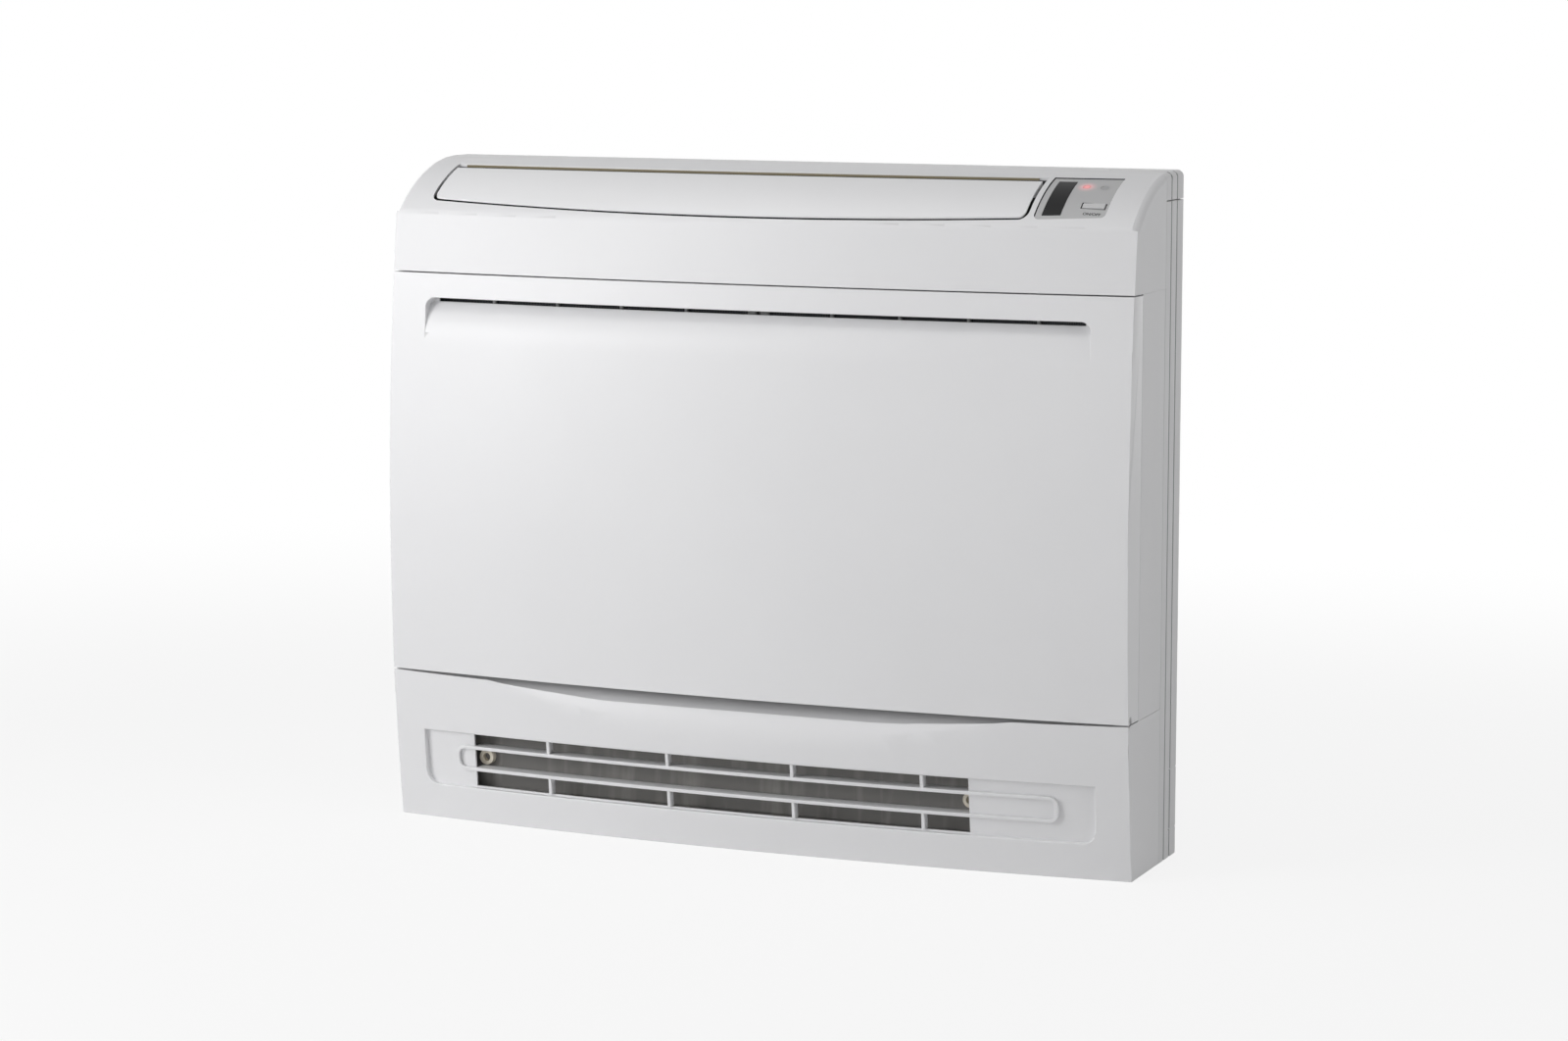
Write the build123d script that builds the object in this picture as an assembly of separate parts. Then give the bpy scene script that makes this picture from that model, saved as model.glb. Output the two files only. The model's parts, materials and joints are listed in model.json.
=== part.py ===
from build123d import *
import math
import os

os.makedirs("parts", exist_ok=True)

# Overall size of the floor console, in millimetres: X to the right, Y to the wall, Z up
overall_width = 700.0
overall_height = 600.0
overall_depth = 210.0

# Form of the visible casing
casing_depth = 166.0
plan_bow = 20.0
bulge_radius = 2050.0
bulge_height = 298.0
crown_radius = 150.0
flat_top = 42.0
crease_radius = 9.0
corner_cut = 5.0
corner_swell = 1.0
wall = 2.5
seam = 1.2
seat = 0.15
overrun = 10.0
bulge_steps = 6
crown_steps = 7

# Front panel with its air intake slit
panel_foot = 137.5
upper_band = 101.0
panel_wall = 3.0
panel_return = 53.5
panel_lip = 9.0
slit_margin = 44.0
slit_drop = 26.0
slit_height = 4.2
pocket_end = 8.0
pocket_rise = 33.0
pocket_depth = 12.0
pocket_corner = 9.0
pocket_steps = 3

# Panel hinge
hinge_inset = 6.7
hinge_rise = 3.0
hinge_pin_radius = 1.8
hinge_head_radius = 3.4
hinge_head_sink = 1.0
hinge_clearance = 0.25
hinge_ear_thickness = 5.0
hinge_ear_wall = 2.0
hinge_pin_end = 1.0
hinge_arm_depth = 12.0
hinge_arm_drop = 16.0
hinge_arm_setback = 14.0
panel_swing = 30.0
swing_margin = 0.6

# Air outlet and vane in the sloping top
outlet_margin = 31.3
outlet_front = 18.5
outlet_back = 83.0
outlet_bow_radius = 2080.0
outlet_corner = 9.0
vane_gap = 3.0
vane_rear_gap = 9.2
vane_edge = 1.2
vane_rim = 9.0
vane_wall = 3.0
vane_arm = 5.4
vane_axis_behind = 1.0
vane_axis_drop = 16.4
vane_pin_radius = 1.8
vane_pin_clearance = 0.2
seal_thickness = 1.6
seal_height = 4.5
seal_sink = 1.0
seal_gap = 0.1
duct_wall = 2.0
duct_drop = 95.0
duct_rear_room = 1.0
duct_front_drop = 8.0
duct_front_depth = 40.0
blade_count = 13
blade_margin = 30.0
blade_thickness = 1.5
blade_height = 34.0
blade_depth = 30.0
blade_slant = 17.0

# Control panel beside the vane
control_margin = 31.5
control_width = 61.0
control_gap = 4.8
control_sink = 0.8
control_wall = 2.5
control_corner = 4.5
display_margin = 6.5
display_width = 16.0
display_front = 4.0
display_back = 8.0
display_proud = 0.2
lamp_inset = 33.2
sensor_inset = 11.8
lamp_ahead = 3.0
lamp_radius = 3.6
button_inset = 13.0
button_behind = 35.5
button_width = 21.0
button_height = 7.5
button_thickness = 4.5
button_proud = 0.9
button_gap = 0.4
button_corner = 1.0
button_edge = 0.4

# Lower outlet with its grille
tray_margin = 30.0
tray_foot = 31.5
tray_top = 82.0
tray_depth = 5.0
tray_corner = 12.0
slot_left_margin = 80.5
slot_right_margin = 142.0
slot_foot = 33.0
bar_margin = 62.0
bar_height = 3.2
loop_foot = 47.3
loop_top = 70.6
loop_corner = 9.0
bar_front = 1.2
bar_back = 17.0
rib_width = 3.2
rib_back = 10.0
rib_start = 78.0
rib_pitch = 119.5
boss_left_inset = 4.5
boss_right_inset = 5.0
boss_height = 58.0
boss_radius = 7.0
boss_bore = 3.6
boss_gap = 1.0
damper_setback = 50.0
damper_wall = 2.0
lower_duct_foot = 27.0
lower_duct_top = 90.0
lower_duct_margin = 16.0
lower_duct_depth = 55.0
lower_duct_leg = 8.0

# Scoop under the panel
scoop_foot = 95.0
scoop_margin = 75.0

# Ribbed rear frame and chassis
rear_frame_depth = 49.0
rear_gap = 0.8
rear_split_drop = 25.0
groove_pitch = 16.0
groove_width = 3.0
groove_depth = 1.5
groove_count = 2
tongue_depth = 8.0
tongue_wall = 1.5
knockout_width = 22.0
knockout_low = 24.0
knockout_high = 78.0
knockout_line = 0.8
knockout_depth = 0.6
chassis_inset = 18.0
chassis_drop = 15.0
chassis_wall = 2.5
flange_lap = 1.0
fixing_margin_x = 90.0
fixing_foot = 100.0
fixing_drop = 100.0
fixing_radius = 3.5
base_wall = 2.5

# Filters, coil and inner frame behind the panel
inner_frame_setback = 55.0
inner_frame_wall = 4.0
coil_left_margin = 50.0
coil_right_margin = 95.0
coil_rise = 27.5
coil_drop = 19.0
coil_depth = 30.0
coil_plate = 2.5
pan_wall = 2.0
pan_drop = 14.0
pan_margin = 4.0
pan_lip = 6.0
filter_depth = 5.0
filter_rise = 20.5
filter_drop = 11.0
filter_margin = 24.0
filter_split = 4.0
filter_border = 8.0
filter_rib = 3.0
filter_ribs_across = 4
filter_ribs_up = 4
mesh_wall = 1.0
box_gap = 9.0
box_margin = 10.0
box_depth = 60.0

# Places that follow from the sizes above
half_width = overall_width / 2
front_y = -overall_depth / 2
back_y = overall_depth / 2
casing_back = front_y + casing_depth
rear_seam = casing_back - rear_frame_depth
crown_y = casing_back - flat_top
crown_z = overall_height - crown_radius
bow_radius = (half_width ** 2 + plan_bow ** 2) / (2 * plan_bow)
bow_axis = Axis((0, front_y + bow_radius, 0), (0, 0, 1))
far = 2 * overall_width
panel_top = overall_height - upper_band
panel_back = front_y + panel_return
slit_half_length = half_width - slit_margin
slit_foot = panel_top - slit_drop
pocket_half_length = slit_half_length + pocket_end
pocket_foot = slit_foot - pocket_rise
pocket_top = slit_foot + slit_height
casing_foot = panel_top + seam
side_foot = panel_foot - seam
side_inner = half_width - wall
control_right = half_width - control_margin
control_left = control_right - control_width
outlet_left = half_width - outlet_margin
outlet_right = control_left - control_gap
outlet_front_y = front_y + outlet_front
outlet_rear_y = casing_back - outlet_back
duct_foot = overall_height - duct_drop
vane_axis_y = outlet_rear_y + vane_axis_behind
vane_axis_height = overall_height - vane_axis_drop
tray_half_length = half_width - tray_margin
slot_left = half_width - slot_left_margin
slot_right = half_width - slot_right_margin
bar_half_length = half_width - bar_margin
scoop_half_length = half_width - scoop_margin
inner_front = front_y + inner_frame_setback
inner_back = inner_front + inner_frame_wall


def block(x0, x1, y0, y1, z0, z1):
    """Box between two corners."""
    centre = Pos((x0 + x1) / 2, (y0 + y1) / 2, (z0 + z1) / 2)
    return centre * Box(x1 - x0, y1 - y0, z1 - z0)


def bow(x, radius=bow_radius):
    """How far the plan arc falls back at a place across the width."""
    return radius - math.sqrt(radius ** 2 - x ** 2)


def bulge_y(inset, height):
    """Depth of the bulged front on the centre line."""
    radius = bulge_radius - inset
    return front_y + bulge_radius - math.sqrt(radius ** 2 - (height - bulge_height) ** 2)


def bulge_point(inset, angle):
    """Point of the bulged front at an angle above its fullest height."""
    radius = bulge_radius - inset
    return (front_y + bulge_radius - radius * math.cos(angle), bulge_height + radius * math.sin(angle))


def crown_point(inset, angle):
    """Point of the crowned top at an angle in front of its crest."""
    radius = crown_radius - inset
    return (crown_y - radius * math.sin(angle), crown_z + radius * math.cos(angle))


def slope_angle(x, y):
    """Slope of the crowned top, in radians from level."""
    return math.asin((crown_y - (y - bow(x))) / crown_radius)


def slope_z(x, y, inset=0.0):
    """Height of the crowned top."""
    run = crown_y - (y - bow(x))
    return crown_z + math.sqrt((crown_radius - inset) ** 2 - run ** 2)


def crease_point(inset):
    """Where the bulged front meets the crowned top on the centre line."""
    y1 = front_y + bulge_radius
    r1 = bulge_radius - inset
    r2 = crown_radius - inset
    span = math.hypot(crown_y - y1, crown_z - bulge_height)
    along = (r1 ** 2 - r2 ** 2 + span ** 2) / (2 * span)
    across = math.sqrt(r1 ** 2 - along ** 2)
    uy = (crown_y - y1) / span
    uz = (crown_z - bulge_height) / span
    return (y1 + along * uy + across * uz, bulge_height + along * uz - across * uy)


crease = crease_point(0)
bulge_start = math.asin((-overrun - bulge_height) / bulge_radius)
bulge_end = math.asin((crease[1] - bulge_height) / bulge_radius)
crown_end = math.asin((crown_y - crease[0]) / crown_radius)


def bowed(section):
    """Sweep a section of the centre plane round the plan bow."""
    sweep = 2 * math.degrees(math.asin((half_width + 2 * overrun) / bow_radius))
    placed = (Plane.YZ * section).rotate(bow_axis, -sweep / 2)
    return revolve(placed, bow_axis, sweep)


def round_face():
    """What a rounded corner takes off, drawn with the corner at the origin."""
    arc = ThreePointArc(
        (-corner_cut, 0),
        ((corner_swell - corner_cut * math.sqrt(0.5)) * math.sqrt(0.5),) * 2,
        (0, -corner_cut),
    )
    return make_face(
        [
            arc,
            Line((0, -corner_cut), (overrun, -corner_cut)),
            Line((overrun, -corner_cut), (overrun, overrun)),
            Line((overrun, overrun), (-corner_cut, overrun)),
            Line((-corner_cut, overrun), (-corner_cut, 0)),
        ]
    )


def corner_rounds():
    """What the rounded right edge takes off: along the front, the crown and the flat top."""
    edge_y = front_y + bow(half_width)
    front_plane = Plane(origin=(half_width, edge_y, bulge_height), x_dir=(1, 0, 0), z_dir=(0, 0, 1))
    front_axis = Axis((0, edge_y + bulge_radius, bulge_height), (-1, 0, 0))
    front_face = front_plane * mirror(round_face(), Plane.XZ)
    front = revolve(
        front_face.rotate(front_axis, math.degrees(bulge_start)), front_axis, math.degrees(bulge_end - bulge_start)
    )
    crest_y = crown_y + bow(half_width)
    top_plane = Plane(origin=(half_width, crest_y, overall_height), x_dir=(1, 0, 0), z_dir=(0, -1, 0))
    top_face = top_plane * round_face()
    crown_axis = Axis((0, crest_y, crown_z), (1, 0, 0))
    crown = revolve(top_face, crown_axis, math.degrees(crown_end))
    top = extrude(top_face, -far)
    return front, crown, top


def envelope(inset, foot=0.0, back=casing_back, smooth=False):
    """Outer form of the casing, drawn in by an even inset; its hidden inner forms have straight steps."""
    top = overall_height - inset
    reach = back + 2 * plan_bow
    low = (bulge_y(inset, -overrun), -overrun)
    bend = crease_point(inset)
    crest = (crown_y, top)
    if smooth:
        outline = [
            ThreePointArc(low, bulge_point(inset, (bulge_start + bulge_end) / 2), bend),
            ThreePointArc(bend, crown_point(inset, crown_end / 2), crest),
            Polyline(crest, (reach, top), (reach, -overrun), low),
        ]
        section = make_face(outline)
        corner = section.vertices().sort_by_distance((bend[0], bend[1], 0))[0]
        section = fillet(corner, crease_radius)
    else:
        points = [low]
        for step in range(1, bulge_steps):
            points.append(bulge_point(inset, bulge_start + (bulge_end - bulge_start) * step / bulge_steps))
        points.append(bend)
        for step in range(crown_steps - 1, 0, -1):
            points.append(crown_point(inset, crown_end * step / crown_steps))
        points += [crest, (reach, top), (reach, -overrun)]
        section = make_face(Polyline(*points, close=True))
    side = half_width - inset
    form = bowed(section) & block(-side, side, 2 * front_y, back, foot, top)
    if smooth:
        for piece in corner_rounds():
            form = form - piece - mirror(piece, Plane.YZ)
    return form


def plan_face(x0, x1, front, rear, front_radius, corner=0.0):
    """Plan outline between two bowed edges and two straight ends."""
    middle = (x0 + x1) / 2
    front_ends = [(x, front + bow(x, front_radius)) for x in (x0, middle, x1)]
    rear_ends = [(x, rear + bow(x)) for x in (x0, middle, x1)]
    face = make_face(
        [
            ThreePointArc(*front_ends),
            Line(front_ends[2], rear_ends[2]),
            ThreePointArc(*rear_ends),
            Line(rear_ends[0], front_ends[0]),
        ]
    )
    if corner > 0:
        face = fillet(face.vertices().sort_by(Axis.Y)[:2], corner)
    return face


def standing(face, z0=duct_foot, z1=2 * overall_height):
    """Extrude a plan outline upwards."""
    return Pos(0, 0, z0) * extrude(face, z1 - z0)


def along_y(face):
    """Extrude an outline drawn in X and Z through the whole depth."""
    return Plane.XZ * extrude(face, far, both=True)


def along_x(points, x0, x1):
    """Extrude a closed Y, Z outline along the width."""
    return Pos(x0, 0, 0) * extrude(Plane.YZ * make_face(points), x1 - x0)


def concentric(arc, change):
    """Arc about the same centre with its radius changed."""
    centre = arc.arc_center
    share = (arc.radius + change) / arc.radius
    points = []
    for place in (0, 0.5, 1):
        points.append(centre + (arc.position_at(place) - centre) * share)
    return ThreePointArc(points)


def write(shape, node):
    export_step(shape, "parts/" + node + ".step")


# Casing form
outer = envelope(0, smooth=True)
inner = envelope(wall, -overrun, casing_back + overrun)
shell = outer - inner

# Upper casing: top, sloping outlet surround and upper front band
outlet_face = plan_face(
    -outlet_left, outlet_right, outlet_front_y, outlet_rear_y, outlet_bow_radius, outlet_corner
)
control_face = plan_face(
    control_left, control_right, outlet_front_y, outlet_rear_y, outlet_bow_radius, control_corner
)
upper_casing = shell & block(-far, far, -far, rear_seam, casing_foot, far)
upper_casing -= standing(outlet_face)
upper_casing -= standing(control_face)
band_lip = inner - envelope(wall + panel_lip, -overrun, casing_back + overrun)
upper_casing += band_lip & block(-far, far, -far, panel_back, casing_foot, casing_foot + wall)
write(upper_casing, "upper_casing")

# Side casings between the seams of the front panel
right_side_casing = shell & block(0, far, panel_back + seam, rear_seam, side_foot, casing_foot)
write(right_side_casing, "right_side_casing")
write(mirror(right_side_casing, Plane.YZ), "left_side_casing")

# Front panel: bowed skin, side returns, lip and rolled intake pocket
roll_start = (bulge_y(0, pocket_foot), pocket_foot)
roll_end = (bulge_y(0, slit_foot) + pocket_depth, slit_foot)
roll_lean = (pocket_foot - bulge_height) / bulge_radius
roll = TangentArc([roll_start, roll_end], tangent=(roll_lean, 1))


def pocket(spread):
    """Space in front of the rolled edge, swept round the bow; straight steps on its hidden side."""
    edge = concentric(roll, -spread)
    low = edge.position_at(0)
    high = edge.position_at(1)
    top = pocket_top + spread
    reach = front_y - pocket_depth
    if spread > 0:
        edge = Polyline([edge.position_at(step / pocket_steps) for step in range(pocket_steps + 1)])
    space = make_face([edge, Polyline((high.X, high.Y), (high.X, top), (reach, top), (reach, low.Y), (low.X, low.Y))])
    foot = low.Y - 2 * pocket_corner
    window = Pos(0, (foot + top) / 2) * RectangleRounded(
        2 * (pocket_half_length + spread), top - foot, pocket_corner + spread
    )
    return bowed(space) & along_y(window)


panel_core = envelope(panel_wall, -overrun, casing_back + overrun)
panel_core = panel_core & block(-far, far, -far, far, panel_foot - panel_wall, panel_top - panel_wall)
panel_core -= pocket(panel_wall)
front_panel = (outer & block(-far, far, -far, panel_back, panel_foot, panel_top)) - pocket(0) - panel_core
lip_gap = envelope(panel_wall + panel_lip, -overrun, casing_back + overrun)
front_panel -= lip_gap & block(-far, far, -far, far, panel_top - 2 * panel_wall, far)
slit = block(-slit_half_length, slit_half_length, -far, panel_back, slit_foot, pocket_top)
front_panel -= slit & envelope(pocket_depth / 2, -overrun)
hinge_y = bulge_y(0, panel_foot) + bow(half_width) + hinge_inset
hinge_z = panel_foot + hinge_rise
hinge_line = Axis((0, hinge_y, hinge_z), (1, 0, 0))
pin_seat = Plane(origin=(0, hinge_y, hinge_z), z_dir=(1, 0, 0))


def on_hinge(radius, x0, x1):
    """Round bar on the hinge line."""
    return pin_seat * Pos(0, 0, (x0 + x1) / 2) * Cylinder(radius, x1 - x0)


front_panel -= on_hinge(hinge_head_radius, -far, far)
write(front_panel, "front_panel")

# Hinge pins: head sunk in the panel's side, shank in the bracket's ear
ear_outer = side_inner - seam - panel_wall
ear_inner = ear_outer - hinge_ear_thickness
head_end = half_width - hinge_head_sink
right_pin = on_hinge(hinge_head_radius, half_width - panel_wall, head_end)
right_pin += on_hinge(hinge_pin_radius, ear_inner - hinge_pin_end, head_end)
write(Compound([right_pin, mirror(right_pin, Plane.YZ)]), "panel_hinge_pins")

# Lower casing: U-shaped base with scoop, room for the panel's swing, outlet tray and slot
scoop_back = bulge_y(0, panel_foot) + bow(scoop_half_length)


scoop_lean = (scoop_foot - bulge_height) / bulge_radius
scoop_roll = TangentArc([(bulge_y(0, scoop_foot), scoop_foot), (scoop_back, panel_foot)], tangent=(scoop_lean, 1))


def scoop(spread):
    """Space over the rolled shoulder under the panel, deepest in the middle of the bow."""
    edge = concentric(scoop_roll, -spread)
    start = edge.position_at(0)
    end = edge.position_at(1)
    reach = front_y - panel_return
    top = panel_foot + panel_return
    points = [edge, Polyline((end.X, end.Y), (end.X, top), (reach, top), (reach, start.Y), (start.X, start.Y))]
    return along_x(points, -far, far)


def swing_radius(x):
    """Reach of the panel's lower edge from the hinge line."""
    return math.hypot(bulge_y(0, panel_foot) + bow(x) - hinge_y, hinge_rise)


def swing_room(spread):
    """Space that the panel's lower edge passes through as it tilts forward."""
    room = swing_margin + spread
    end = half_width + overrun
    edge = ThreePointArc(
        (-end, -swing_radius(end) - room),
        (0, -swing_radius(0) - room),
        (end, -swing_radius(end) - room),
    )
    face = make_face([edge, Polyline(edge @ 1, (end, 0), (-end, 0), edge @ 0)])
    turned = revolve(Pos(0, hinge_y, hinge_z) * face, hinge_line, 90)
    above = block(-far, far, hinge_y - far, hinge_y + far, hinge_z - hinge_rise - room, hinge_z + far)
    return turned & above.rotate(hinge_line, panel_swing)


def tray(spread):
    """Outlet tray: window drawn in X and Z, with round lower corners."""
    tall = tray_top - tray_foot + 2 * spread
    window = Pos(0, (tray_top + tray_foot) / 2) * Rectangle(2 * (tray_half_length + spread), tall)
    window = fillet(window.vertices().sort_by(Axis.Y)[:2], tray_corner + spread)
    return along_y(window)


base_reach = block(-far, far, -far, far, -overrun, panel_foot)
tray_reach = block(-far, far, -far, 0, 0, panel_foot)
tray_floor = envelope(tray_depth, -overrun, casing_back + overrun)
tray_under = envelope(tray_depth + wall, -overrun, casing_back + overrun)
base_outer = outer & block(-far, far, -far, rear_seam, 0, side_foot)
base_outer -= scoop(0)
base_outer -= swing_room(0)
base_outer -= (tray(0) & tray_reach) - tray_floor
base_inner = inner & base_reach
base_inner -= scoop(wall)
base_inner -= swing_room(wall)
base_inner -= (tray(wall) & tray_reach) - tray_under
lower_casing = base_outer - base_inner
lower_casing -= block(-slot_left, slot_right, -far, rear_seam, slot_foot, tray_top)
write(lower_casing, "lower_casing")

# Grille of the lower outlet: one long loop of two bars, with upright ribs
grille_front = envelope(bar_front, -overrun, casing_back + overrun)
grille_back = envelope(bar_back, -overrun, casing_back + overrun)
rib_rear = envelope(rib_back, -overrun, casing_back + overrun)
rib_front = envelope(2 * bar_front, -overrun, casing_back + overrun)
loop_middle = (loop_foot + loop_top) / 2
loop_tall = loop_top - loop_foot
loop_outer = Pos(0, loop_middle) * RectangleRounded(2 * bar_half_length, loop_tall, loop_corner)
loop_inner = Pos(0, loop_middle) * RectangleRounded(
    2 * (bar_half_length - bar_height), loop_tall - 2 * bar_height, loop_corner - bar_height
)
rib_count = int((slot_left + slot_right - rib_start) // rib_pitch) + 1
rib_faces = Sketch()
for number in range(rib_count):
    place = -slot_left + rib_start + number * rib_pitch
    for rib_foot, rib_top in ((slot_foot, loop_foot + bar_height / 2), (loop_top - bar_height / 2, tray_top)):
        rib_faces += Pos(place, (rib_foot + rib_top) / 2) * Rectangle(rib_width, rib_top - rib_foot)
bars = along_y(loop_outer - loop_inner) & (grille_front - grille_back)
blind = block(-far, -slot_left + seat, -far, far, 0, far) + block(slot_right - seat, far, -far, far, 0, far)
bars -= blind & envelope(tray_depth - seat, -overrun, casing_back + overrun)
ribs = along_y(rib_faces) & (rib_front - rib_rear)
write(bars + ribs, "outlet_grille")

# Duct and damper behind the lower outlet
duct_left = slot_left + lower_duct_margin
duct_right = slot_right + lower_duct_margin
damper_y = front_y + damper_setback
duct_back = damper_y + lower_duct_depth
duct_space_x = (-duct_left + duct_wall, duct_right - duct_wall)
duct_space_z = (lower_duct_foot + duct_wall, lower_duct_top - duct_wall)
lower_duct = block(-duct_left, duct_right, -far, duct_back, lower_duct_foot, lower_duct_top)
lower_duct -= block(*duct_space_x, -far, duct_back - duct_wall, *duct_space_z)
lower_duct = lower_duct & envelope(tray_depth + wall + seat, -overrun, casing_back)
lower_duct += block(-duct_left, duct_right, duct_back - lower_duct_leg, duct_back, base_wall, lower_duct_foot)
write(lower_duct, "lower_duct")
write(block(*duct_space_x, damper_y, damper_y + damper_wall, *duct_space_z), "lower_damper")
boss_left = slot_left - boss_left_inset
boss_right = slot_right - boss_right_inset
boss_front = bulge_y(bar_back, boss_height) + bow(boss_left) + boss_gap
boss_base = Plane(origin=(0, damper_y, boss_height), z_dir=(0, -1, 0))
boss = boss_base * extrude(Circle(boss_radius) - Circle(boss_bore), damper_y - boss_front)
write(Pos(-boss_left, 0, 0) * boss, "left_screw_boss")
write(Pos(boss_right, 0, 0) * boss, "right_screw_boss")

# Vane: curved flap with an end arm and a pin at each end
vane_left = outlet_left - vane_gap
vane_right = outlet_right - vane_gap
vane_rear_y = outlet_rear_y - vane_rear_gap
vane_front_y = outlet_front_y + vane_gap


def vane_form(rim):
    """Crowned form of the vane, drawn in from its edges."""
    face = plan_face(
        -vane_left + rim,
        vane_right - rim,
        vane_front_y + rim,
        vane_rear_y - rim,
        outlet_bow_radius,
        outlet_corner - vane_gap,
    )
    return outer & standing(face)


vane = vane_form(0) - envelope(vane_edge, -overrun, casing_back + overrun)
vane += vane_form(vane_rim) - envelope(vane_wall, -overrun, casing_back + overrun)
arm_foot = vane_axis_height - vane_arm
arm_zone = block(-far, far, vane_axis_y - 4 * vane_arm, vane_axis_y + vane_arm, arm_foot, far)
arm_ends = block(-vane_left, -vane_left + vane_wall, -far, far, 0, far)
arm_ends += block(vane_right - vane_wall, vane_right, -far, far, 0, far)
vane += vane_form(0) & arm_zone & arm_ends
write(vane, "outlet_vane")
vane_line = Plane(origin=(0, vane_axis_y, vane_axis_height), z_dir=(1, 0, 0))


def on_vane_axis(radius, x0, x1):
    """Round bar on the vane's axis."""
    return vane_line * Pos(0, 0, (x0 + x1) / 2) * Cylinder(radius, x1 - x0)


pin_reach = vane_gap + duct_wall
left_vane_pin = on_vane_axis(vane_pin_radius, -vane_left - pin_reach, -vane_left)
right_vane_pin = on_vane_axis(vane_pin_radius, vane_right, vane_right + pin_reach)
write(Compound([left_vane_pin, right_vane_pin]), "vane_pins")

# Seal strip on the rear edge of the outlet
seal_face = plan_face(
    -outlet_left + outlet_corner,
    outlet_right - outlet_corner,
    outlet_rear_y - seal_gap - seal_thickness,
    outlet_rear_y - seal_gap,
    bow_radius,
)
seal_top = slope_z(0, outlet_rear_y) - seal_sink
write(standing(seal_face, seal_top - seal_height, seal_top), "outlet_seal_strip")

# Outlet duct under the vane
duct_plan = plan_face(
    -outlet_left - duct_wall,
    outlet_right + duct_wall,
    outlet_front_y,
    outlet_rear_y + duct_rear_room + duct_wall,
    outlet_bow_radius,
)
duct_hole = plan_face(
    -outlet_left,
    outlet_right,
    outlet_front_y + duct_wall,
    outlet_rear_y + duct_rear_room,
    outlet_bow_radius,
)
outlet_duct = standing(duct_plan) & envelope(wall + seat, -overrun)
outlet_duct -= standing(duct_hole, duct_foot + duct_wall)
front_cut = slope_z(0, outlet_front_y) - duct_front_drop
outlet_duct -= block(-outlet_left, outlet_right, -far, outlet_front_y + duct_front_depth, front_cut, far)
pin_bore = vane_pin_radius + vane_pin_clearance
outlet_duct -= on_vane_axis(pin_bore, -outlet_left - 2 * duct_wall, -outlet_left)
outlet_duct -= on_vane_axis(pin_bore, outlet_right, outlet_right + 2 * duct_wall)
write(outlet_duct, "outlet_duct")

# Upright deflector blades standing in the outlet duct
blade_first = -outlet_left + blade_margin
blade_pitch = (outlet_left + outlet_right - 2 * blade_margin) / (blade_count - 1)
blade_y = (outlet_front_y + outlet_rear_y + plan_bow) / 2
blade_foot = duct_foot + duct_wall
blade_front = blade_y - blade_depth / 2
blade_rear = blade_y + blade_depth / 2
blade_outline = Polyline(
    (blade_front, blade_foot),
    (blade_rear, blade_foot),
    (blade_rear, blade_foot + blade_height),
    (blade_y, blade_foot + blade_height),
    (blade_front, blade_foot + blade_slant),
    close=True,
)
blades = []
for number in range(blade_count):
    place = blade_first + number * blade_pitch
    blades.append(along_x([blade_outline], place - blade_thickness / 2, place + blade_thickness / 2))
write(Compound(blades), "deflector_blades")

# Control panel with display window, lamp, sensor and button
control_middle = (control_left + control_right) / 2
control_turn = math.asin(control_middle / bow_radius)
control_axis = Plane(
    origin=(control_middle, crown_y + bow(control_middle), crown_z),
    z_dir=(math.cos(control_turn), math.sin(control_turn), 0),
)


def control_roll(inset):
    """Crowned surface of the control panel as a round bar along the local width."""
    return control_axis * Cylinder(crown_radius - inset, 4 * control_width)


control_rim = plan_face(
    control_left + seat,
    control_right - seat,
    outlet_front_y + seat,
    outlet_rear_y - seat,
    outlet_bow_radius,
    control_corner - seat,
)
control_panel = standing(control_rim) & (control_roll(control_sink) - control_roll(control_sink + control_wall))


def window_face(spread):
    """Plan outline of the display window."""
    return plan_face(
        control_left + display_margin - spread,
        control_left + display_margin + display_width + spread,
        outlet_front_y + display_front - spread,
        outlet_rear_y - display_back + spread,
        outlet_bow_radius,
    )


control_panel -= standing(window_face(seat))
display_top = control_roll(control_sink - display_proud)
write(standing(window_face(0)) & (display_top - control_roll(control_sink + control_wall)), "display_window")


def slope_plane(x, y):
    """Plane on the sunk control panel, square to the slope."""
    lean = slope_angle(x, y)
    return Plane(
        origin=(x, y, slope_z(x, y, control_sink)),
        x_dir=(1, 0, 0),
        z_dir=(0, -math.sin(lean), math.cos(lean)),
    )


lamp_y = outlet_rear_y - lamp_ahead
lamp_plane = slope_plane(control_left + lamp_inset, lamp_y)
sensor_plane = slope_plane(control_right - sensor_inset, lamp_y)
button_plane = slope_plane(control_right - button_inset, outlet_front_y + button_behind)
lens = Pos(0, 0, -control_wall / 2) * Cylinder(lamp_radius, control_wall)
lens_hole = Cylinder(lamp_radius + seat, 6 * control_wall)
control_panel -= lamp_plane * lens_hole
control_panel -= sensor_plane * lens_hole
write(lamp_plane * lens, "indicator_lamp")
write(sensor_plane * lens, "signal_sensor")
control_panel -= button_plane * Box(button_width + 2 * button_gap, button_height + 2 * button_gap, 6 * control_wall)
write(control_panel, "control_panel")
button = Pos(0, 0, button_proud - button_thickness / 2) * Box(button_width, button_height, button_thickness)
button = fillet(button.edges().filter_by(Axis.Z), button_corner)
button = chamfer(button.faces().sort_by(Axis.Z)[-1].edges(), button_edge)
write(button_plane * button, "on_off_button")

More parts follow.
